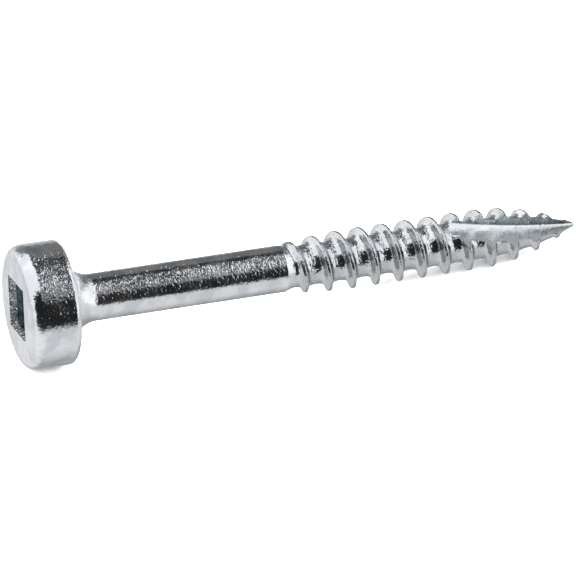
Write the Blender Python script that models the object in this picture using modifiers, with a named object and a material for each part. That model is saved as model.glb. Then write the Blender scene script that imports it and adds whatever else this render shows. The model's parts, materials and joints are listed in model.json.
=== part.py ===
"""Pocket hole screw, one piece: a thick washer head with a square recess, a plain shank,
a coarse right-hand wood thread and a sharp point with one cutting flute.

It is modelled standing on the Z axis, with the head's bearing face at z = 0, the head above it and
the point below, and is then laid on its side the way it comes to rest on a table: the rim of the
head and the crest of the thread touch the floor at z = 0.
A turn about the axis is counted anticlockwise seen from the head, from the side that ends up on top.
"""
from math import ceil, cos, pi, radians, sin, tan

import bpy
import bmesh
from mathutils import Matrix, Vector

# Head
HEAD_DIAMETER = 0.00734
HEAD_HEIGHT = 0.00293
HEAD_FRONT_ROUNDING = 0.00069
HEAD_BACK_ROUNDING = 0.00035

# Square recess
RECESS_WIDTH = 0.00290
RECESS_MOUTH_FLARE = 0.00012
RECESS_MOUTH_DEPTH = 0.00050
RECESS_DRAFT = radians(4.5)
RECESS_FLOOR_HEIGHT = 0.00082
RECESS_POINT_DEPTH = 0.00045
RECESS_TURN = radians(-26.9)

# Shank
UNDER_HEAD_LENGTH = 0.03175
NECK_LENGTH = 0.00160
NECK_FLARE = 0.00086
NECK_CURVE = 1.8
SHANK_DIAMETER = 0.00281
SHANK_LENGTH = 0.01322
SHANK_STEP_LENGTH = 0.00090

# Thread
THREAD_DIAMETER = 0.00356
ROOT_DIAMETER = 0.00247
PITCH = 0.0014645
CREST_WIDTH = 0.00016
CREST_ROUNDING = 0.00004
FLANK_ANGLE = radians(18)
ROOT_FILLET = 0.00020
FIRST_RIDGE = 0.00069
RUN_IN_LENGTH = 0.00446
RUN_IN_HEIGHT = 0.00004

# Point
POINT_LENGTH = 0.00737
POINT_CURVE = 2.6
THREAD_FADE_LENGTH = 0.00630
THREAD_FADE_CURVE = 2.0
TIP_DIAMETER = 0.00016
TIP_LENGTH = 0.00010

# Cutting flute
FLUTE_LENGTH = 0.00860
FLUTE_SLOPE = radians(8.2)
FLUTE_TURN = radians(11.6)
FLUTE_FLOOR_TURN = radians(-6.8)
FLUTE_TIP_OFFSET = 0.00005

# How far the cutters reach past the surface
CUT_OVERRUN = 0.00073

# Fineness of the surface
FACETS = 20
FRONT_ROUNDING_STEPS = 6
BACK_ROUNDING_STEPS = 3
NECK_STEPS = 8
ROOT_FILLET_STEPS = 3
SNAP = 0.00005
WELD = 0.000001

HALF_FACET = pi / FACETS
HEAD_RADIUS = HEAD_DIAMETER / 2
SHANK_RADIUS = SHANK_DIAMETER / 2
ROOT_RADIUS = ROOT_DIAMETER / 2
THREAD_RADIUS = THREAD_DIAMETER / 2
TIP_RADIUS = TIP_DIAMETER / 2


def clear_scene():
    for old in list(bpy.data.objects):
        bpy.data.objects.remove(old)


def new_collection(name):
    collection = bpy.data.collections.new(name)
    bpy.context.scene.collection.children.link(collection)
    return collection


def zinc_plate():
    material = bpy.data.materials.new("zinc_plate")
    material.use_nodes = True
    shader = material.node_tree.nodes["Principled BSDF"]
    shader.inputs["Base Color"].default_value = (0.75, 0.77, 0.79, 1.0)
    shader.inputs["Metallic"].default_value = 1.0
    shader.inputs["Roughness"].default_value = 0.22
    return material


def mix(start, end, share):
    return start + (end - start) * share


def unit_share(value):
    return min(max(value, 0.0), 1.0)


def arc(centre, radius, start, end, steps):
    """Points (radius, height) along an arc of a profile, from one angle to the other."""
    points = []
    for step in range(steps + 1):
        angle = mix(start, end, step / steps)
        points.append((centre[0] + radius * cos(angle), centre[1] + radius * sin(angle)))
    return points


def swept(name, profile, start_turn, facets, rise=0.0, turns=1):
    """Mesh of a profile of (radius, height) points, top to bottom, swept about the Z axis.

    A radius is measured to the flat between two corners, so the round parts rest on a flat at their
    true height.
    """
    corner = Vector((cos(start_turn), sin(start_turn), 0.0)) / cos(pi / facets)
    vertices = [corner * radius + Vector((0.0, 0.0, height)) for radius, height in profile]
    edges = [(index, index + 1) for index in range(len(profile) - 1)]
    line = bpy.data.meshes.new(name)
    line.from_pydata(vertices, edges, [])
    sweeper = bpy.data.objects.new(name, line)
    bpy.context.scene.collection.objects.link(sweeper)
    screw = sweeper.modifiers.new("sweep", "SCREW")
    screw.axis = "Z"
    screw.angle = 2 * pi
    screw.screw_offset = rise
    screw.iterations = turns
    screw.steps = facets
    screw.render_steps = facets
    screw.use_merge_vertices = True
    screw.merge_threshold = WELD
    evaluated = sweeper.evaluated_get(bpy.context.evaluated_depsgraph_get())
    mesh = bpy.data.meshes.new_from_object(evaluated)
    bpy.data.objects.remove(sweeper)
    return mesh


def head_and_shank_profile():
    """Outline from the middle of the drive face down to the end of the plain shank."""
    front = (HEAD_RADIUS - HEAD_FRONT_ROUNDING, HEAD_HEIGHT - HEAD_FRONT_ROUNDING)
    back = (HEAD_RADIUS - HEAD_BACK_ROUNDING, HEAD_BACK_ROUNDING)
    outline = [(0.0, HEAD_HEIGHT)]
    outline += arc(front, HEAD_FRONT_ROUNDING, pi / 2, 0.0, FRONT_ROUNDING_STEPS)
    outline += arc(back, HEAD_BACK_ROUNDING, 0.0, -pi / 2, BACK_ROUNDING_STEPS)
    for step in range(NECK_STEPS + 1):
        share = step / NECK_STEPS
        radius = SHANK_RADIUS + NECK_FLARE * (1 - share) ** NECK_CURVE
        outline.append((radius, -NECK_LENGTH * share))
    outline.append((SHANK_RADIUS, -SHANK_LENGTH))
    return outline


def ridge_profile(middle):
    """One pitch of the thread: a ridge about the given height and the valley under it."""
    depth = THREAD_RADIUS - ROOT_RADIUS
    crest = CREST_WIDTH / 2
    foot = crest + depth * tan(FLANK_ANGLE)
    outside = foot + ROOT_FILLET * tan((pi / 2 - FLANK_ANGLE) / 2)
    fillet = (ROOT_RADIUS + ROOT_FILLET, outside)
    half = arc(fillet, ROOT_FILLET, pi, 1.5 * pi - FLANK_ANGLE, ROOT_FILLET_STEPS)
    half.append((THREAD_RADIUS - CREST_ROUNDING, crest))
    ridge = half + [(THREAD_RADIUS, 0.0)] + [(r, -z) for r, z in reversed(half)]
    ridge.append((ROOT_RADIUS, outside - PITCH))
    return [(r, middle + z) for r, z in ridge]


def root_radius(drop):
    """Radius between the ridges at a distance below the bearing face."""
    step = unit_share((drop - SHANK_LENGTH) / SHANK_STEP_LENGTH)
    taper = unit_share(1 - (UNDER_HEAD_LENGTH - drop) / POINT_LENGTH)
    root = mix(SHANK_RADIUS, ROOT_RADIUS, 1 - (1 - step) ** 2)
    return mix(root, TIP_RADIUS, taper ** POINT_CURVE)


def crest_radius(drop):
    """Radius over the ridges: they rise out of the shank and die away at the point."""
    run_in = unit_share((drop - SHANK_LENGTH) / RUN_IN_LENGTH)
    fade = unit_share(1 - (UNDER_HEAD_LENGTH - drop) / THREAD_FADE_LENGTH)
    full = mix(SHANK_RADIUS + RUN_IN_HEIGHT, THREAD_RADIUS, 1 - (1 - run_in) ** 2)
    return mix(full, TIP_RADIUS, fade ** THREAD_FADE_CURVE)


def fit_to_shank_and_point(mesh):
    """Draw an even thread in to its run-in and its taper, and gather its ends."""
    for vertex in mesh.vertices:
        drop = -vertex.co.z
        across = Vector((vertex.co.x, vertex.co.y, 0.0))
        rise = (across.length * cos(HALF_FACET) - ROOT_RADIUS) / (THREAD_RADIUS - ROOT_RADIUS)
        radius = mix(root_radius(drop), crest_radius(drop), rise)
        if drop < SHANK_LENGTH + SNAP:
            drop = SHANK_LENGTH
            radius = SHANK_RADIUS
        if drop > UNDER_HEAD_LENGTH - TIP_LENGTH:
            drop = UNDER_HEAD_LENGTH
            radius = 0.0
        vertex.co = across.normalized() * radius / cos(HALF_FACET)
        vertex.co.z = -drop


def threaded_end():
    """The thread, from the end of the plain shank to the tip, open at the shank."""
    ridges = ceil((UNDER_HEAD_LENGTH - SHANK_LENGTH) / PITCH)
    first_ridge = -(SHANK_LENGTH + FIRST_RIDGE) + PITCH * HALF_FACET / (2 * pi)
    lowest = first_ridge - (ridges + 1) * PITCH
    mesh = swept("thread", ridge_profile(lowest), HALF_FACET, FACETS, PITCH, ridges + 3)
    fit_to_shank_and_point(mesh)
    return mesh


def screw_mesh():
    """The whole outer skin: head, shank and thread welded at the end of the shank."""
    skin = bmesh.new()
    skin.from_mesh(swept("head", head_and_shank_profile(), HALF_FACET, FACETS))
    skin.from_mesh(threaded_end())
    bmesh.ops.remove_doubles(skin, verts=skin.verts, dist=WELD)
    bmesh.ops.dissolve_degenerate(skin, edges=skin.edges, dist=WELD)
    mesh = bpy.data.meshes.new("screw")
    skin.to_mesh(mesh)
    skin.free()
    mesh.shade_smooth()
    mesh.set_sharp_from_angle(angle=radians(35))
    return mesh


def recess_cutter():
    """Square socket: a flared mouth, slightly drafted walls and a blunt pyramid at its end."""
    floor_depth = HEAD_HEIGHT - RECESS_FLOOR_HEIGHT
    floor_width = RECESS_WIDTH - 2 * (floor_depth - RECESS_MOUTH_DEPTH) * tan(RECESS_DRAFT)
    mouth_width = RECESS_WIDTH + 2 * RECESS_MOUTH_FLARE
    profile = [
        (0.0, HEAD_HEIGHT + CUT_OVERRUN),
        (mouth_width / 2, HEAD_HEIGHT + CUT_OVERRUN),
        (mouth_width / 2, HEAD_HEIGHT),
        (RECESS_WIDTH / 2, HEAD_HEIGHT - RECESS_MOUTH_DEPTH),
        (floor_width / 2, RECESS_FLOOR_HEIGHT),
        (0.0, RECESS_FLOOR_HEIGHT - RECESS_POINT_DEPTH),
    ]
    return bpy.data.objects.new("recess_cutter", swept("recess", profile, RECESS_TURN, 4))


def flute_cutter():
    """Square bar whose long edge runs up from the tip and leaves the thread at a shallow slope."""
    width = THREAD_DIAMETER
    bar = bmesh.new()
    bmesh.ops.create_cube(bar, size=1.0)
    bmesh.ops.translate(bar, verts=bar.verts, vec=(0.5, -0.5, 0.5))
    length = (FLUTE_LENGTH + CUT_OVERRUN) / cos(FLUTE_SLOPE)
    bmesh.ops.scale(bar, verts=bar.verts, vec=(width, width, length))
    bmesh.ops.translate(bar, verts=bar.verts, vec=(0.0, 0.0, -CUT_OVERRUN))
    bmesh.ops.recalc_face_normals(bar, faces=bar.faces)
    mesh = bpy.data.meshes.new("flute")
    bar.to_mesh(mesh)
    bar.free()
    cutter = bpy.data.objects.new("flute_cutter", mesh)
    side = Vector((cos(FLUTE_TURN), sin(FLUTE_TURN), 0.0))
    lean = Matrix.Rotation(FLUTE_TURN, 3, "Z") @ Matrix.Rotation(FLUTE_SLOPE, 3, "Y")
    turn = lean @ Matrix.Rotation(FLUTE_FLOOR_TURN - FLUTE_TURN, 3, "Z")
    cutter.rotation_euler = turn.to_euler()
    cutter.location = side * FLUTE_TIP_OFFSET + Vector((0.0, 0.0, -UNDER_HEAD_LENGTH))
    return cutter


def cut(body, cutter):
    boolean = body.modifiers.new(cutter.name, "BOOLEAN")
    boolean.operation = "DIFFERENCE"
    boolean.solver = "EXACT"
    boolean.object = cutter


def resting_tilt(mesh):
    """Slope of the axis at which the head's rim and the thread are equally low."""
    head = [vertex.co for vertex in mesh.vertices if vertex.co.z >= 0.0]
    thread = [vertex.co for vertex in mesh.vertices if vertex.co.z < -SHANK_LENGTH]
    low = 0.0
    high = pi / 4
    for _ in range(50):
        tilt = (low + high) / 2
        head_low = min(point.x * cos(tilt) + point.z * sin(tilt) for point in head)
        thread_low = min(point.x * cos(tilt) + point.z * sin(tilt) for point in thread)
        if thread_low > head_low:
            low = tilt
        else:
            high = tilt
    return (low + high) / 2


def resting_place(mesh):
    """Empty that lays the upright screw on the floor, centred over the origin."""
    place = bpy.data.objects.new("resting_place", None)
    place.rotation_euler = (0.0, resting_tilt(mesh) - pi / 2, 0.0)
    turn = place.rotation_euler.to_matrix()
    points = [turn @ vertex.co for vertex in mesh.vertices]
    low = [min(point[axis] for point in points) for axis in range(3)]
    high = [max(point[axis] for point in points) for axis in range(3)]
    place.location = (-(low[0] + high[0]) / 2, -(low[1] + high[1]) / 2, -low[2])
    return place


def build():
    clear_scene()
    parts = new_collection("pocket_hole_screw")
    cutters = new_collection("cutters")
    screw = bpy.data.objects.new("screw", screw_mesh())
    screw.data.materials.append(zinc_plate())
    place = resting_place(screw.data)
    screw.parent = place
    parts.objects.link(place)
    parts.objects.link(screw)
    for cutter in (recess_cutter(), flute_cutter()):
        cutter.hide_render = True
        cutter.display_type = "WIRE"
        cutter.parent = place
        cutters.objects.link(cutter)
        cut(screw, cutter)


build()
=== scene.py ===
"""Pocket hole screw as it looks: bright zinc plate over a headed, rolled and milled steel wire.

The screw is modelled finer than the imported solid, from the same sizes, but with blunter crests,
rounder roots and a bowed flute. It is modelled upright, with the head's bearing face at z = 0, the
head above it and the point below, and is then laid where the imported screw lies. A turn about the
axis is counted anticlockwise seen from the head, from the side that ends up on top. Lengths are in
metres.
"""
import json
from math import ceil, cos, degrees, pi, radians, sin, sqrt, tan

import bpy
from mathutils import Matrix, Vector


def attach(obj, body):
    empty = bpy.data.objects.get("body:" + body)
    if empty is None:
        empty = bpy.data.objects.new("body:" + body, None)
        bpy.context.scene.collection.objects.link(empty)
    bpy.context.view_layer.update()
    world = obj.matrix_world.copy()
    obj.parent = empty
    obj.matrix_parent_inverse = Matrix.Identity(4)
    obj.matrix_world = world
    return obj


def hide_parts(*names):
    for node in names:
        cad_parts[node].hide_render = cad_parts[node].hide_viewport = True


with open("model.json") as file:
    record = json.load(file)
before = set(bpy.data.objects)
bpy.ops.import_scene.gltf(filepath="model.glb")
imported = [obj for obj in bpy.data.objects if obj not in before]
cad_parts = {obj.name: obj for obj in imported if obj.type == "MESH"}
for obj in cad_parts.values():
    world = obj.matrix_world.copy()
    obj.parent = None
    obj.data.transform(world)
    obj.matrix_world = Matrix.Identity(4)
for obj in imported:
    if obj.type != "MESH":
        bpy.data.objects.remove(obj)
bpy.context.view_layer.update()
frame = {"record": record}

# Head
HEAD_RADIUS = 0.00367
HEAD_HEIGHT = 0.00293
HEAD_FRONT_ROUNDING = 0.00069
HEAD_BACK_ROUNDING = 0.00035

# Square recess
RECESS_WIDTH = 0.00290
RECESS_MOUTH_FLARE = 0.00012
RECESS_MOUTH_DEPTH = 0.00050
RECESS_LIP = 0.00005
RECESS_DRAFT = radians(4.5)
RECESS_FLOOR_HEIGHT = 0.00082
RECESS_POINT_DEPTH = 0.00045
RECESS_POINT_WIDTH = 0.00010
RECESS_TURN = radians(-26.9)

# Shank
UNDER_HEAD_LENGTH = 0.03175
NECK_LENGTH = 0.00160
NECK_FLARE = 0.00086
NECK_CURVE = 1.8
SHANK_RADIUS = 0.001405
SHANK_LENGTH = 0.01322
SHANK_STEP_LENGTH = 0.00090

# Thread
THREAD_RADIUS = 0.00178
ROOT_RADIUS = 0.001235
PITCH = 0.0014645
CREST_WIDTH = 0.00025
CREST_ROUNDING = 0.00008
FLANK_ANGLE = radians(18)
ROOT_FILLET = 0.00030
VALLEY_SAG = 0.00002
FIRST_RIDGE = 0.00069
RUN_IN_LENGTH = 0.00446
RUN_IN_HEIGHT = 0.00004
SPARE_TURNS = 1

# Point
POINT_LENGTH = 0.00737
POINT_CURVE = 2.6
THREAD_FADE_LENGTH = 0.00630
THREAD_FADE_CURVE = 2.0
TIP_RADIUS = 0.00008
TIP_LENGTH = 0.00010

# Cutting flute
FLUTE_LENGTH = 0.00860
FLUTE_SLOPE = radians(8.2)
FLUTE_TURN = radians(11.6)
FLUTE_FLOOR_TURN = radians(-6.8)
FLUTE_TIP_OFFSET = 0.00005
FLUTE_BOW = 0.00021
FLUTE_CORNER_ROUNDING = 0.00027
FLUTE_CORNER_SPREAD = 3.8
FLUTE_TIP_ROUNDING_SHARE = 0.15

# How far the cutters reach past the surface
CUT_OVERRUN = 0.00073

# Fineness of the mesh
FACETS = 120
ROUNDING_STEPS = 10
NECK_STEPS = 20
FILLET_STEPS = 5
FLUTE_CORNER_STEPS = 10
FLUTE_STEPS = 16
CREST_STEPS = 3
VALLEY_STEPS = 6

# Shading: how far from a rounding a ring keeps the flat even, and at which angle edges are smooth
SHADING_SUPPORT = 0.00004
SMOOTH_BELOW = radians(35)

# How near its start a point of the thread is drawn onto the shank's end, and how near points merge
SNAP = 0.00002
WELD = 0.0000005

# Camera
CAMERA_AZIMUTH = radians(-18.6)
CAMERA_ELEVATION = radians(39)
CAMERA_DISTANCE = 0.30
CAMERA_TARGET = Vector((-0.0008396, -0.0005552, 0.0015766))
CAMERA_LENS = 319.366
SENSOR_WIDTH = 36

# Grain that all three finishes share
GRAIN_STRETCH = (1.0, 0.8, 0.8)
DIMPLE_SHARE = 0.45
DIMPLE_BOWL = (0.05, 0.48)
CLOUD_CONTRAST = (0.38, 0.62)

# Zinc plate: where its finish changes, and where the painted shade on the thread's underside fades
# towards the top
THREAD_FINISH_START = (SHANK_LENGTH - 0.0002, SHANK_LENGTH + 0.0008)
RIDGE_FINISH_START = (ROOT_RADIUS + 0.00004, ROOT_RADIUS + 0.00026)
UPPER_SIDE_START = (0.20, 0.52)
FACE_FINISH_DEPTH = 0.00006

# Zinc plate: heights of its grain on the wire, which is head and shank, and on the thread.
# A pair is for the underside and the upper side.
FACE_GRAIN = 0.000005
WIRE_GRAIN_ADDED = (0.000003, 0.000014)
WIRE_LUMPS = (0.000004, 0.000008)
WIRE_DIMPLES = (0.000002, 0.000006)
THREAD_GRAIN = 0.000028
THREAD_LUMPS = 0.000044
THREAD_DIMPLES = 0.000014

# Zinc plate: colours, how far it goes from bright to dull, and how deep the painted shade on the
# thread's underside is
BRIGHT_ZINC = ((0.64, 0.68, 0.72), (0.81, 0.825, 0.85))
# Dull zinc, which is also the colour of the painted shade on the thread's underside
DULL_AND_SHADED_ZINC = (0.49, 0.515, 0.53)
THREAD_DULLNESS = 0.22
RIDGE_DULLNESS = 0.22
# Painted shade: the thread's underside is darkened towards the dull colour
THREAD_UNDERSIDE_PAINTED_SHADE = 0.48
ZINC_PIT = (0.34, 0.37, 0.38)
WIRE_PIT_SHARE = 0.12
THREAD_PIT_SHARE = 0.35
ZINC_ROUGHNESS = (0.10, 0.16)
RIDGE_ROUGHNESS_ADDED = 0.10

# Pressed recess
RECESS_FLARE_END = RECESS_MOUTH_DEPTH - HEAD_HEIGHT
RECESS_WALL_START = (RECESS_FLARE_END - 0.00006, RECESS_FLARE_END + 0.00002)
RECESS_FLARE_ROUGHENING = 2.4
RECESS_WALL_ROUGHENING = 0.7
RECESS_FLARE_GREY = ((0.66, 0.69, 0.70), (0.90, 0.91, 0.92))
# Painted shade and reflection: the walls below the flare are darker and bluer
RECESS_WALL_PAINTED_SHADE = ((0.18, 0.25, 0.29), (0.34, 0.42, 0.46))
RECESS_ROUGHNESS = (0.20, 0.34)

# Milled flute
MILLED_ZINC = ((0.66, 0.72, 0.76), (0.80, 0.83, 0.845))
MILLED_PIT = (0.36, 0.40, 0.43)
MILLED_PIT_SHARE = 0.2
MILLED_ROUGHNESS = (0.15, 0.22)

# Floor
FLOOR_SIZE = 2.0
FLOOR_COLOR = (0.9, 0.9, 0.9)
FLOOR_ROUGHNESS = 0.8

# Light
LIGHT_HEIGHT = 0.35
LIGHT_SIZE = 0.90
LIGHT_ENERGY = 26.0

# Studio. A direction is given by its share along X and by its angle around X, in degrees from the
# horizon in front, over the top, to the horizon behind. A later panel is painted over the earlier.
# Each panel: (along from, to), softness, (around from, to), softness, level.
QUARTER_TURN = 90.0
ROOM_LEVEL = 1.20
PANELS = (
    # Behind, from low over the horizon down to the floor
    ((-0.40, 0.66), 0.10, (153.0, 188.0), 8.0, 0.28),
    ((-0.02, 0.66), 0.08, (146.0, 188.0), 7.0, 0.24),
    ((-0.30, 0.70), 0.20, (186.0, 300.0), 10.0, 0.62),
    # Behind and above, on the point's side
    ((0.80, 2.0), 0.08, (108.0, 150.0), 8.0, 0.66),
    ((0.40, 0.82), 0.06, (119.0, 168.0), 7.0, 0.20),
    ((0.20, 0.44), 0.03, (122.0, 179.0), 8.0, 0.18),
    # Narrow ones overhead
    ((0.235, 0.402), 0.022, (50.0, 116.0), 8.0, 0.05),
    ((0.17, 0.52), 0.03, (110.0, 132.0), 5.0, 0.03),
    ((0.47, 0.62), 0.04, (118.0, 146.0), 6.0, 0.52),
    # Black ones in front
    ((-0.93, 0.475), 0.07, (-90.0, 51.0), 11.0, 0.020),
    ((-0.93, 0.20), 0.06, (40.0, 64.0), 6.0, 0.018),
    # Floor in front and behind
    ((-2.0, 2.0), 0.10, (-120.0, -12.0), 8.0, 0.93),
    ((-2.0, 2.0), 0.10, (200.0, 300.0), 8.0, 0.84),
    ((0.10, 2.0), 0.12, (-120.0, -12.0), 8.0, 0.80),
    # Shade straight below
    ((-0.10, 0.75), 0.20, (-120.0, -72.0), 22.0, 0.52),
    ((-0.10, 0.75), 0.20, (225.0, 300.0), 15.0, 0.42),
)


# Modelling helpers


def select_only(piece):
    bpy.ops.object.select_all(action="DESELECT")
    piece.select_set(True)
    bpy.context.view_layer.objects.active = piece


def mix(start, end, share):
    return start + (end - start) * share


def unit_share(value):
    return min(max(value, 0.0), 1.0)


def arc(centre, radius, start, end, steps):
    """Points (radius, height) along an arc of an outline, from one angle to the other."""
    points = []
    for step in range(steps + 1):
        angle = mix(start, end, step / steps)
        points.append((centre[0] + radius * cos(angle), centre[1] + radius * sin(angle)))
    return points


def stack_rings(rings):
    """In edit mode with one ring selected, extrude it through a list of (radius, height) rings."""
    for (radius, height), (next_radius, next_height) in zip(rings, rings[1:]):
        bpy.ops.mesh.extrude_edges_move(
            TRANSFORM_OT_translate={"value": (0.0, 0.0, next_height - height)}
        )
        scale = next_radius / radius
        bpy.ops.transform.resize(value=(scale, scale, 1.0), center_override=(0.0, 0.0, next_height))


def apply_modifiers(piece):
    select_only(piece)
    for modifier in list(piece.modifiers):
        bpy.ops.object.modifier_apply(modifier=modifier.name)


def close_skin(piece):
    """Merge the points that meet, drop the faces without an area and turn the rest outwards."""
    select_only(piece)
    bpy.ops.object.mode_set(mode="EDIT")
    bpy.ops.mesh.select_all(action="SELECT")
    bpy.ops.mesh.remove_doubles(threshold=WELD)
    bpy.ops.mesh.dissolve_degenerate(threshold=WELD)
    bpy.ops.mesh.normals_make_consistent(inside=False)
    bpy.ops.object.mode_set(mode="OBJECT")


# Screw


def bearing_place():
    """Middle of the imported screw's bearing face, its axis towards the tip, and its upper side."""
    bearing = next(mount for mount in frame["record"]["mounts"] if mount["name"] == "bearing_face")
    to_tip = Vector(bearing["axis"])
    up = Vector((-to_tip.z, 0.0, to_tip.x))
    ring_radius = (SHANK_RADIUS + NECK_FLARE + HEAD_RADIUS - HEAD_BACK_ROUNDING) / 2
    return Vector(bearing["pos_m"]) - up * ring_radius, to_tip, up


def headed_blank():
    """Head, neck and plain shank, open where the thread begins."""
    back = (HEAD_RADIUS - HEAD_BACK_ROUNDING, HEAD_BACK_ROUNDING)
    front = (HEAD_RADIUS - HEAD_FRONT_ROUNDING, HEAD_HEIGHT - HEAD_FRONT_ROUNDING)
    rings = [
        (SHANK_RADIUS, -SHANK_LENGTH),
        (SHANK_RADIUS, SHADING_SUPPORT - SHANK_LENGTH),
        (SHANK_RADIUS, -NECK_LENGTH - SHADING_SUPPORT),
    ]
    for step in range(NECK_STEPS + 1):
        share = step / NECK_STEPS
        rings.append((SHANK_RADIUS + NECK_FLARE * share**NECK_CURVE, -NECK_LENGTH * (1 - share)))
    rings.append((back[0] - SHADING_SUPPORT, 0.0))
    rings += arc(back, HEAD_BACK_ROUNDING, -pi / 2, 0.0, ROUNDING_STEPS)
    rings.append((HEAD_RADIUS, back[1] + SHADING_SUPPORT))
    rings.append((HEAD_RADIUS, front[1] - SHADING_SUPPORT))
    rings += arc(front, HEAD_FRONT_ROUNDING, 0.0, pi / 2, ROUNDING_STEPS)
    rings.append((front[0] - SHADING_SUPPORT, HEAD_HEIGHT))
    bpy.ops.object.select_all(action="DESELECT")
    bpy.ops.mesh.primitive_circle_add(
        vertices=FACETS, radius=SHANK_RADIUS, location=(0.0, 0.0, -SHANK_LENGTH)
    )
    blank = bpy.context.object
    bpy.ops.object.transform_apply(location=True, rotation=False, scale=False)
    bpy.ops.object.mode_set(mode="EDIT")
    bpy.ops.mesh.select_all(action="SELECT")
    stack_rings(rings)
    bpy.ops.mesh.edge_face_add()
    bpy.ops.object.mode_set(mode="OBJECT")
    return blank


def ridge_outline(middle):
    """Points (radius, height) of one pitch: a ridge about the given height and the valley below."""
    foot = CREST_WIDTH / 2 + (THREAD_RADIUS - ROOT_RADIUS) * tan(FLANK_ANGLE)
    outside = foot + ROOT_FILLET * tan((pi / 2 - FLANK_ANGLE) / 2)
    fillet = (ROOT_RADIUS + ROOT_FILLET, outside)
    half = arc(fillet, ROOT_FILLET, pi, 1.5 * pi - FLANK_ANGLE, FILLET_STEPS)
    crest = (THREAD_RADIUS - CREST_ROUNDING, CREST_WIDTH / 2 - CREST_ROUNDING)
    half += arc(crest, CREST_ROUNDING, pi / 2 - FLANK_ANGLE, 0.0, CREST_STEPS)
    ridge = half + [(radius, -height) for radius, height in reversed(half)]
    for step in range(1, VALLEY_STEPS + 1):
        share = step / VALLEY_STEPS
        sag = VALLEY_SAG * sin(pi * share)
        ridge.append((ROOT_RADIUS - sag, mix(-outside, outside - PITCH, share)))
    return [(radius, middle + height) for radius, height in ridge]


def root_radius(drop):
    """Radius between the ridges at a distance below the bearing face."""
    step = unit_share((drop - SHANK_LENGTH) / SHANK_STEP_LENGTH)
    taper = unit_share(1 - (UNDER_HEAD_LENGTH - drop) / POINT_LENGTH)
    root = mix(SHANK_RADIUS, ROOT_RADIUS, 1 - (1 - step) ** 2)
    return mix(root, TIP_RADIUS, taper**POINT_CURVE)


def crest_radius(drop):
    """Radius over the ridges: they rise out of the shank and die away at the point."""
    run_in = unit_share((drop - SHANK_LENGTH) / RUN_IN_LENGTH)
    fade = unit_share(1 - (UNDER_HEAD_LENGTH - drop) / THREAD_FADE_LENGTH)
    full = mix(SHANK_RADIUS + RUN_IN_HEIGHT, THREAD_RADIUS, 1 - (1 - run_in) ** 2)
    return mix(full, TIP_RADIUS, fade**THREAD_FADE_CURVE)


def even_thread():
    """Helical sweep of the ridge, with spare turns past both ends of the threaded part."""
    ridges = ceil((UNDER_HEAD_LENGTH - SHANK_LENGTH) / PITCH)
    lowest = -(SHANK_LENGTH + FIRST_RIDGE) - (ridges + SPARE_TURNS) * PITCH
    outline = ridge_outline(lowest)
    bpy.ops.object.select_all(action="DESELECT")
    bpy.ops.mesh.primitive_plane_add()
    thread = bpy.context.object
    bpy.ops.object.mode_set(mode="EDIT")
    bpy.ops.mesh.merge(type="CENTER")
    bpy.ops.transform.translate(value=(outline[0][0], 0.0, outline[0][1]))
    for (radius, height), (next_radius, next_height) in zip(outline, outline[1:]):
        step = (next_radius - radius, 0.0, next_height - height)
        bpy.ops.mesh.extrude_vertices_move(TRANSFORM_OT_translate={"value": step})
    bpy.ops.object.mode_set(mode="OBJECT")
    helix = thread.modifiers.new("helix", "SCREW")
    helix.screw_offset = PITCH
    helix.iterations = ridges + 2 * SPARE_TURNS + 1
    helix.steps = FACETS
    helix.render_steps = FACETS
    helix.use_merge_vertices = True
    helix.merge_threshold = WELD
    apply_modifiers(thread)
    return thread


def rolled_thread():
    """The even thread drawn in to its run-in and its taper, and gathered at its ends."""
    thread = even_thread()
    for vertex in thread.data.vertices:
        drop = -vertex.co.z
        across = Vector((vertex.co.x, vertex.co.y, 0.0))
        ridge_share = (across.length - ROOT_RADIUS) / (THREAD_RADIUS - ROOT_RADIUS)
        radius = mix(root_radius(drop), crest_radius(drop), ridge_share)
        if drop < SHANK_LENGTH + SNAP:
            drop = SHANK_LENGTH
            radius = SHANK_RADIUS
        if drop > UNDER_HEAD_LENGTH - TIP_LENGTH:
            drop = UNDER_HEAD_LENGTH
            radius = 0.0
        vertex.co = across.normalized() * radius
        vertex.co.z = -drop
    return thread


def recess_punch(material):
    """Square punch: a rounded lip, a flared mouth, slightly drafted walls and a blunt point."""
    floor_depth = HEAD_HEIGHT - RECESS_FLOOR_HEIGHT
    floor_half = RECESS_WIDTH / 2 - (floor_depth - RECESS_MOUTH_DEPTH) * tan(RECESS_DRAFT)
    mouth_half = RECESS_WIDTH / 2 + RECESS_MOUTH_FLARE
    lip = arc(
        (mouth_half + RECESS_LIP, HEAD_HEIGHT - RECESS_LIP), RECESS_LIP, pi / 2, pi, FILLET_STEPS
    )
    rings = [(mouth_half + RECESS_LIP, HEAD_HEIGHT + CUT_OVERRUN)] + lip
    rings += [
        (RECESS_WIDTH / 2, HEAD_HEIGHT - RECESS_MOUTH_DEPTH),
        (floor_half, RECESS_FLOOR_HEIGHT),
        (RECESS_POINT_WIDTH / 2, RECESS_FLOOR_HEIGHT - RECESS_POINT_DEPTH),
    ]
    bpy.ops.object.select_all(action="DESELECT")
    bpy.ops.mesh.primitive_circle_add(
        vertices=4, radius=rings[0][0] * sqrt(2), location=(0.0, 0.0, rings[0][1])
    )
    punch = bpy.context.object
    bpy.ops.object.transform_apply(location=True, rotation=False, scale=False)
    bpy.ops.object.mode_set(mode="EDIT")
    bpy.ops.mesh.select_all(action="SELECT")
    bpy.ops.mesh.edge_face_add()
    bpy.ops.mesh.region_to_loop()
    stack_rings(rings)
    bpy.ops.mesh.edge_face_add()
    bpy.ops.mesh.select_all(action="SELECT")
    bpy.ops.mesh.normals_make_consistent(inside=False)
    bpy.ops.object.mode_set(mode="OBJECT")
    punch.rotation_euler.z = RECESS_TURN
    punch.data.materials.append(material)
    return punch


def edge_ends(mesh, edge):
    return [mesh.vertices[index].co for index in edge.vertices]


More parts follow.
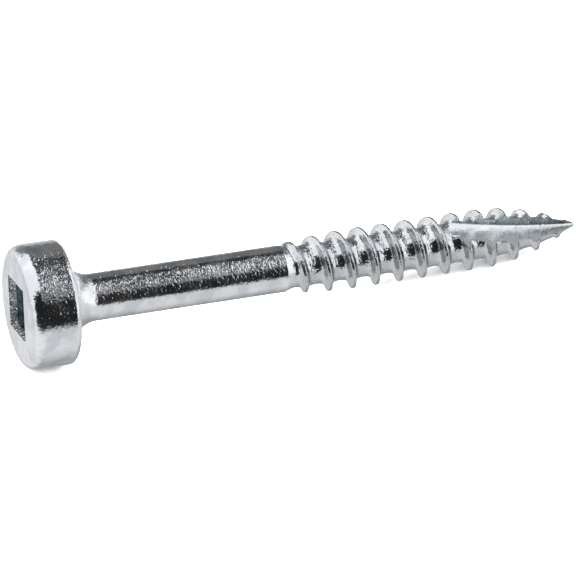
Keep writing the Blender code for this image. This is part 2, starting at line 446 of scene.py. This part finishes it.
def stepped_bar(width, length):
    """Square bar with one long edge on the axis, its long edges divided evenly."""
    bpy.ops.object.select_all(action="DESELECT")
    bpy.ops.mesh.primitive_cube_add(size=1.0)
    bar = bpy.context.object
    bpy.ops.object.mode_set(mode="EDIT")
    bpy.ops.transform.translate(value=(0.5, -0.5, 0.5))
    bpy.ops.transform.resize(value=(width, width, length), center_override=(0.0, 0.0, 0.0))
    bpy.ops.transform.translate(value=(0.0, 0.0, -CUT_OVERRUN))
    bpy.ops.mesh.select_mode(type="EDGE")
    bpy.ops.mesh.select_all(action="DESELECT")
    bpy.ops.object.mode_set(mode="OBJECT")
    for edge in bar.data.edges:
        lower, upper = edge_ends(bar.data, edge)
        edge.select = abs(upper.z - lower.z) > WELD
    bpy.ops.object.mode_set(mode="EDIT")
    bpy.ops.mesh.subdivide(number_cuts=FLUTE_STEPS - 1)
    bpy.ops.mesh.select_mode(type="VERT")
    bpy.ops.object.mode_set(mode="OBJECT")
    return bar


def round_axis_edge(bar):
    """Round the bar's long edge that lies on the axis."""
    weight = bar.data.attributes.new("bevel_weight_edge", "FLOAT", "EDGE")
    for edge in bar.data.edges:
        ends = edge_ends(bar.data, edge)
        on_axis = all(abs(end.x) < WELD and abs(end.y) < WELD for end in ends)
        weight.data[edge.index].value = float(on_axis)
    rounding = bar.modifiers.new("corner", "BEVEL")
    rounding.limit_method = "WEIGHT"
    rounding.width = FLUTE_CORNER_ROUNDING
    rounding.segments = FLUTE_CORNER_STEPS
    apply_modifiers(bar)


def bow_to_flute(bar, length):
    """Spread the rounding, make it tighter towards the tip, and bow the bar into the screw."""
    for vertex in bar.data.vertices:
        if Vector(vertex.co.xy).length < FLUTE_CORNER_ROUNDING + WELD:
            share = mix(FLUTE_TIP_ROUNDING_SHARE, 1.0, (vertex.co.z + CUT_OVERRUN) / length)
            vertex.co.x *= share
            vertex.co.y *= share * FLUTE_CORNER_SPREAD
        climb = unit_share(vertex.co.z / (length - CUT_OVERRUN))
        vertex.co.x -= FLUTE_BOW * (1 - (2 * climb - 1) ** 2)


def flute_mill(material):
    """Bowed square bar whose long edge runs up from the tip and leaves the thread at a slope."""
    length = (FLUTE_LENGTH + CUT_OVERRUN) / cos(FLUTE_SLOPE)
    mill = stepped_bar(2 * THREAD_RADIUS, length)
    round_axis_edge(mill)
    bow_to_flute(mill, length)
    side = Vector((cos(FLUTE_TURN), sin(FLUTE_TURN), 0.0))
    lean = Matrix.Rotation(FLUTE_TURN, 3, "Z") @ Matrix.Rotation(FLUTE_SLOPE, 3, "Y")
    turn = lean @ Matrix.Rotation(FLUTE_FLOOR_TURN - FLUTE_TURN, 3, "Z")
    mill.rotation_euler = turn.to_euler()
    mill.location = side * FLUTE_TIP_OFFSET + Vector((0.0, 0.0, -UNDER_HEAD_LENGTH))
    mill.data.materials.append(material)
    return mill


def cut(piece, cutter):
    boolean = piece.modifiers.new(cutter.name, "BOOLEAN")
    boolean.operation = "DIFFERENCE"
    boolean.solver = "EXACT"
    boolean.material_mode = "TRANSFER"
    boolean.object = cutter
    apply_modifiers(piece)
    bpy.data.objects.remove(cutter)


def lay_down(piece):
    """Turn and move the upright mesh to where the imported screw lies."""
    middle, to_tip, up = bearing_place()
    turn = Matrix((up, Vector((0.0, 1.0, 0.0)), -to_tip)).transposed().to_4x4()
    piece.data.transform(Matrix.Translation(middle) @ turn)


def make_screw(plate, pressed, milled):
    blank = headed_blank()
    thread = rolled_thread()
    for piece in (thread, blank):
        piece.data.materials.append(plate)
    select_only(blank)
    thread.select_set(True)
    bpy.ops.object.join()
    close_skin(blank)
    blank.name = "zinc_screw"
    cut(blank, recess_punch(pressed))
    cut(blank, flute_mill(milled))
    close_skin(blank)
    lay_down(blank)
    select_only(blank)
    bpy.ops.object.shade_smooth_by_angle(angle=SMOOTH_BELOW)
    even_shading = blank.modifiers.new("even_shading", "WEIGHTED_NORMAL")
    even_shading.keep_sharp = True
    apply_modifiers(blank)
    return blank


# Node helpers


def calculate(tree, operation, *values):
    node = tree.nodes.new("ShaderNodeMath")
    node.operation = operation
    for socket, value in zip(node.inputs, values):
        if isinstance(value, (int, float)):
            socket.default_value = value
        else:
            tree.links.new(value, socket)
    return node.outputs[0]


def rise(tree, value, low, high):
    """From 0 at the low value to 1 at the high one, with soft ends."""
    node = tree.nodes.new("ShaderNodeMapRange")
    node.interpolation_type = "SMOOTHSTEP"
    tree.links.new(value, node.inputs["Value"])
    node.inputs["From Min"].default_value = low
    node.inputs["From Max"].default_value = high
    return node.outputs["Result"]


def between(tree, value, low, high, soft):
    """1 between two values and 0 outside them, with edges of the given softness."""
    enter = rise(tree, value, low - soft, low + soft)
    leave = rise(tree, value, high - soft, high + soft)
    return calculate(tree, "SUBTRACT", enter, leave)


def blend_values(tree, share, start, end):
    """Mix node for values, whose inputs 0, 2 and 3 are the share and the two ends."""
    node = tree.nodes.new("ShaderNodeMix")
    for socket, value in ((0, share), (2, start), (3, end)):
        if isinstance(value, (int, float)):
            node.inputs[socket].default_value = value
        else:
            tree.links.new(value, node.inputs[socket])
    return node.outputs[0]


def color_between(tree, share, start, end):
    """Mix node for colours, whose inputs 0, 6 and 7 are the share and the two ends."""
    node = tree.nodes.new("ShaderNodeMix")
    node.data_type = "RGBA"
    tree.links.new(share, node.inputs[0])
    for socket, color in ((6, start), (7, end)):
        if isinstance(color, tuple):
            node.inputs[socket].default_value = (*color, 1.0)
        else:
            tree.links.new(color, node.inputs[socket])
    return node.outputs[2]


def node_group(name, inputs, outputs):
    """Empty node group with named sockets, given as (name, socket type)."""
    group = bpy.data.node_groups.new(name, "ShaderNodeTree")
    for socket_name, kind in inputs:
        group.interface.new_socket(socket_name, in_out="INPUT", socket_type=kind)
    for socket_name, kind in outputs:
        group.interface.new_socket(socket_name, in_out="OUTPUT", socket_type=kind)
    given = group.nodes.new("NodeGroupInput")
    results = group.nodes.new("NodeGroupOutput")
    return group, given.outputs, results.inputs


def place_group(tree, group, position, **values):
    """Put a node group in a material, with its values given by their lower-case names."""
    node = tree.nodes.new("ShaderNodeGroup")
    node.node_tree = group
    tree.links.new(position, node.inputs["Position"])
    for name, value in values.items():
        socket = node.inputs[name.replace("_", " ").title()]
        if isinstance(value, float):
            socket.default_value = value
        else:
            tree.links.new(value, socket)
    return node.outputs


def noise(tree, position, size, detail=2.0):
    """Noise from 0 to 1 whose features have the given size in metres."""
    node = tree.nodes.new("ShaderNodeTexNoise")
    node.inputs["Detail"].default_value = detail
    tree.links.new(position, node.inputs["Vector"])
    scale = calculate(tree, "DIVIDE", 1.0, size)
    tree.links.new(scale, node.inputs["Scale"])
    return node.outputs["Fac"]


# Materials


def plate_grain_group():
    """Fine grain of the plating: drawn out round the wire, with dimples and cloudy patches.

    Height is in metres. Dimples and Cloud go from 0 to 1.
    """
    floats = (
        "Grain Size",
        "Grain Height",
        "Lump Size",
        "Lump Height",
        "Dimple Size",
        "Dimple Depth",
        "Cloud Size",
    )
    group, given, results = node_group(
        "plate_grain",
        [("Position", "NodeSocketVector")] + [(name, "NodeSocketFloat") for name in floats],
        [(name, "NodeSocketFloat") for name in ("Height", "Dimples", "Cloud")],
    )
    drawn = group.nodes.new("ShaderNodeMapping")
    drawn.inputs["Scale"].default_value = GRAIN_STRETCH
    group.links.new(given["Position"], drawn.inputs["Vector"])
    grain = noise(group, drawn.outputs[0], given["Grain Size"], detail=1.0)
    height = calculate(group, "MULTIPLY", grain, given["Grain Height"])
    lumps = noise(group, given["Position"], given["Lump Size"])
    height = calculate(group, "MULTIPLY_ADD", lumps, given["Lump Height"], height)
    cells = group.nodes.new("ShaderNodeTexVoronoi")
    group.links.new(given["Position"], cells.inputs["Vector"])
    group.links.new(calculate(group, "DIVIDE", 1.0, given["Dimple Size"]), cells.inputs["Scale"])
    chance = group.nodes.new("ShaderNodeSeparateColor")
    group.links.new(cells.outputs["Color"], chance.inputs[0])
    chosen = calculate(group, "LESS_THAN", chance.outputs[0], DIMPLE_SHARE)
    rim = rise(group, cells.outputs["Distance"], *DIMPLE_BOWL)
    bowl = calculate(group, "SUBTRACT", 1.0, rim)
    dimples = calculate(group, "MULTIPLY", bowl, chosen)
    depth = calculate(group, "MULTIPLY", dimples, given["Dimple Depth"])
    height = calculate(group, "SUBTRACT", height, depth)
    cloud = noise(group, given["Position"], given["Cloud Size"], detail=4.0)
    group.links.new(height, results["Height"])
    group.links.new(dimples, results["Dimples"])
    group.links.new(rise(group, cloud, *CLOUD_CONTRAST), results["Cloud"])
    return group


def screw_position(tree):
    """Position from the middle of the bearing face, with X along the screw towards its tip."""
    middle, to_tip, _ = bearing_place()
    lie = Vector((1.0, 0.0, 0.0)).rotation_difference(to_tip).inverted()
    coordinates = tree.nodes.new("ShaderNodeTexCoord")
    aligned = tree.nodes.new("ShaderNodeMapping")
    aligned.inputs["Rotation"].default_value = lie.to_euler()
    aligned.inputs["Location"].default_value = -(lie @ middle)
    tree.links.new(coordinates.outputs["Object"], aligned.inputs["Vector"])
    return aligned.outputs[0]


def metal(name):
    """Material with a metallic shader, whose look the caller links."""
    material = bpy.data.materials.new(name)
    material.use_nodes = True
    shader = material.node_tree.nodes["Principled BSDF"]
    shader.inputs["Metallic"].default_value = 1.0
    return material, material.node_tree, shader.inputs


def link_height(tree, height, surface):
    bump = tree.nodes.new("ShaderNodeBump")
    bump.inputs["Distance"].default_value = 1.0
    tree.links.new(height, bump.inputs["Height"])
    tree.links.new(bump.outputs[0], surface["Normal"])


def zinc_plate(grain_group):
    """Bright zinc, finely grained on head and shank, lumpier and duller on the thread, whose
    underside is darkened as painted shade.

    The grain is lowest on the drive face, and lower on the underside of head and shank than on top.
    """
    material, tree, surface = metal("zinc_plate")
    position = screw_position(tree)
    split = tree.nodes.new("ShaderNodeSeparateXYZ")
    tree.links.new(position, split.inputs[0])
    along, across, upward = split.outputs
    radius = calculate(tree, "SQRT", calculate(
        tree, "MULTIPLY_ADD", across, across, calculate(tree, "MULTIPLY", upward, upward)
    ))
    threaded = rise(tree, along, *THREAD_FINISH_START)
    ridge = calculate(tree, "MULTIPLY", threaded, rise(tree, radius, *RIDGE_FINISH_START))
    upper = rise(tree, calculate(tree, "DIVIDE", upward, radius), *UPPER_SIDE_START)
    off_face = rise(tree, along, -HEAD_HEIGHT, FACE_FINISH_DEPTH - HEAD_HEIGHT)
    wire_grain = blend_values(tree, upper, *WIRE_GRAIN_ADDED)
    wire_grain = calculate(tree, "MULTIPLY_ADD", off_face, wire_grain, FACE_GRAIN)
    wire_lumps = blend_values(tree, upper, *WIRE_LUMPS)
    wire_dimples = blend_values(tree, upper, *WIRE_DIMPLES)
    grain = place_group(
        tree,
        grain_group,
        position,
        grain_size=0.00016,
        grain_height=blend_values(tree, threaded, wire_grain, THREAD_GRAIN),
        lump_size=0.00045,
        lump_height=blend_values(tree, threaded, wire_lumps, THREAD_LUMPS),
        dimple_size=0.00022,
        dimple_depth=blend_values(tree, threaded, wire_dimples, THREAD_DIMPLES),
        cloud_size=0.0011,
    )
    link_height(tree, grain["Height"], surface)
    color = color_between(tree, grain["Cloud"], *BRIGHT_ZINC)
    # Painted shade: the thread's underside is darkened towards the dull colour
    painted_underside_shade = calculate(tree, "MULTIPLY", threaded, calculate(tree, "SUBTRACT", 1.0, upper))
    dull_and_shade = calculate(tree, "MULTIPLY", threaded, THREAD_DULLNESS)
    dull_and_shade = calculate(tree, "MULTIPLY_ADD", ridge, RIDGE_DULLNESS, dull_and_shade)
    dull_and_shade = calculate(tree, "MULTIPLY_ADD", painted_underside_shade, THREAD_UNDERSIDE_PAINTED_SHADE, dull_and_shade)
    color = color_between(tree, dull_and_shade, color, DULL_AND_SHADED_ZINC)
    pit_share = blend_values(tree, threaded, WIRE_PIT_SHARE, THREAD_PIT_SHARE)
    pits = calculate(tree, "MULTIPLY", grain["Dimples"], pit_share)
    tree.links.new(color_between(tree, pits, color, ZINC_PIT), surface["Base Color"])
    roughness = blend_values(tree, grain["Cloud"], *ZINC_ROUGHNESS)
    roughness = calculate(tree, "MULTIPLY_ADD", ridge, RIDGE_ROUGHNESS_ADDED, roughness)
    tree.links.new(roughness, surface["Roughness"])
    return material


def pressed_recess(grain_group):
    """Punched walls: a grey flared mouth with coarse grain, and below it walls painted darker and
    bluer as painted shade and reflection.
    """
    material, tree, surface = metal("pressed_recess")
    position = screw_position(tree)
    grain = place_group(
        tree,
        grain_group,
        position,
        grain_size=0.00012,
        grain_height=0.000012,
        lump_size=0.00034,
        lump_height=0.000016,
        dimple_size=0.00024,
        dimple_depth=0.000016,
        cloud_size=0.0005,
    )
    split = tree.nodes.new("ShaderNodeSeparateXYZ")
    tree.links.new(position, split.inputs[0])
    on_wall = rise(tree, split.outputs[0], *RECESS_WALL_START)
    roughening = blend_values(tree, on_wall, RECESS_FLARE_ROUGHENING, RECESS_WALL_ROUGHENING)
    link_height(tree, calculate(tree, "MULTIPLY", grain["Height"], roughening), surface)
    flare = color_between(tree, grain["Cloud"], *RECESS_FLARE_GREY)
    # Painted shade and reflection: the walls are darker and bluer than the flare
    shaded_wall = color_between(tree, grain["Cloud"], *RECESS_WALL_PAINTED_SHADE)
    tree.links.new(color_between(tree, on_wall, flare, shaded_wall), surface["Base Color"])
    tree.links.new(blend_values(tree, grain["Cloud"], *RECESS_ROUGHNESS), surface["Roughness"])
    return material


def milled_flute(grain_group):
    """Milled walls: smoother than the rolled thread, but with a broad satin shine."""
    material, tree, surface = metal("milled_flute")
    grain = place_group(
        tree,
        grain_group,
        screw_position(tree),
        grain_size=0.00009,
        grain_height=0.000005,
        lump_size=0.00030,
        lump_height=0.000010,
        dimple_size=0.00020,
        dimple_depth=0.000006,
        cloud_size=0.0008,
    )
    link_height(tree, grain["Height"], surface)
    color = color_between(tree, grain["Cloud"], *MILLED_ZINC)
    pits = calculate(tree, "MULTIPLY", grain["Dimples"], MILLED_PIT_SHARE)
    tree.links.new(color_between(tree, pits, color, MILLED_PIT), surface["Base Color"])
    tree.links.new(blend_values(tree, grain["Cloud"], *MILLED_ROUGHNESS), surface["Roughness"])
    return material


def pale_floor():
    material = bpy.data.materials.new("pale_floor")
    material.use_nodes = True
    surface = material.node_tree.nodes["Principled BSDF"].inputs
    surface["Base Color"].default_value = (*FLOOR_COLOR, 1.0)
    surface["Roughness"].default_value = FLOOR_ROUGHNESS
    return material


# Setting


def make_floor(level):
    bpy.ops.object.select_all(action="DESELECT")
    bpy.ops.mesh.primitive_plane_add(size=FLOOR_SIZE, location=(0.0, 0.0, level))
    floor = bpy.context.object
    floor.name = "floor"
    floor.data.materials.append(pale_floor())
    floor.visible_glossy = False


def make_camera():
    data = bpy.data.cameras.new("camera")
    data.sensor_width = SENSOR_WIDTH
    data.lens = CAMERA_LENS
    data.clip_start = CAMERA_DISTANCE / 10
    camera = bpy.data.objects.new("camera", data)
    bpy.context.scene.collection.objects.link(camera)
    right = Vector((cos(CAMERA_AZIMUTH), sin(CAMERA_AZIMUTH), 0.0))
    back = Vector((
        sin(CAMERA_AZIMUTH) * cos(CAMERA_ELEVATION),
        -cos(CAMERA_AZIMUTH) * cos(CAMERA_ELEVATION),
        sin(CAMERA_ELEVATION),
    ))
    axes = Matrix((right, back.cross(right), back)).transposed().to_4x4()
    camera.matrix_world = Matrix.Translation(CAMERA_TARGET + back * CAMERA_DISTANCE) @ axes
    bpy.context.scene.camera = camera


def make_world():
    """A white room, painted over with the panels, which the camera sees only in the metal."""
    world = bpy.data.worlds.new("studio")
    bpy.context.scene.world = world
    world.use_nodes = True
    tree = world.node_tree
    background = tree.nodes["Background"]
    background.inputs["Color"].default_value = (1.0, 1.0, 1.0, 1.0)
    coordinates = tree.nodes.new("ShaderNodeTexCoord")
    split = tree.nodes.new("ShaderNodeSeparateXYZ")
    tree.links.new(coordinates.outputs["Generated"], split.inputs[0])
    along, y, z = split.outputs
    around = calculate(tree, "ARCTAN2", y, z)
    around = calculate(tree, "MULTIPLY_ADD", around, degrees(1.0), QUARTER_TURN)
    level = ROOM_LEVEL
    for along_range, along_soft, around_range, around_soft, panel_level in PANELS:
        inside = calculate(
            tree,
            "MULTIPLY",
            between(tree, along, *along_range, along_soft),
            between(tree, around, *around_range, around_soft),
        )
        level = blend_values(tree, inside, level, panel_level)
    ray = tree.nodes.new("ShaderNodeLightPath")
    level = blend_values(tree, ray.outputs["Is Camera Ray"], level, ROOM_LEVEL)
    tree.links.new(level, background.inputs["Strength"])


def make_light():
    """One broad soft light overhead, which the metal doesn't mirror."""
    data = bpy.data.lights.new("overhead", "AREA")
    data.size = LIGHT_SIZE
    data.energy = LIGHT_ENERGY
    lamp = bpy.data.objects.new("overhead", data)
    bpy.context.scene.collection.objects.link(lamp)
    lamp.location.z = LIGHT_HEIGHT
    lamp.visible_glossy = False


def main():
    grain_group = plate_grain_group()
    screw = make_screw(
        zinc_plate(grain_group), pressed_recess(grain_group), milled_flute(grain_group)
    )
    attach(screw, "root")
    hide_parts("screw")
    make_floor(min(vertex.co.z for vertex in screw.data.vertices))
    make_world()
    make_light()
    make_camera()
    bpy.context.scene.view_settings.view_transform = "Standard"


main()
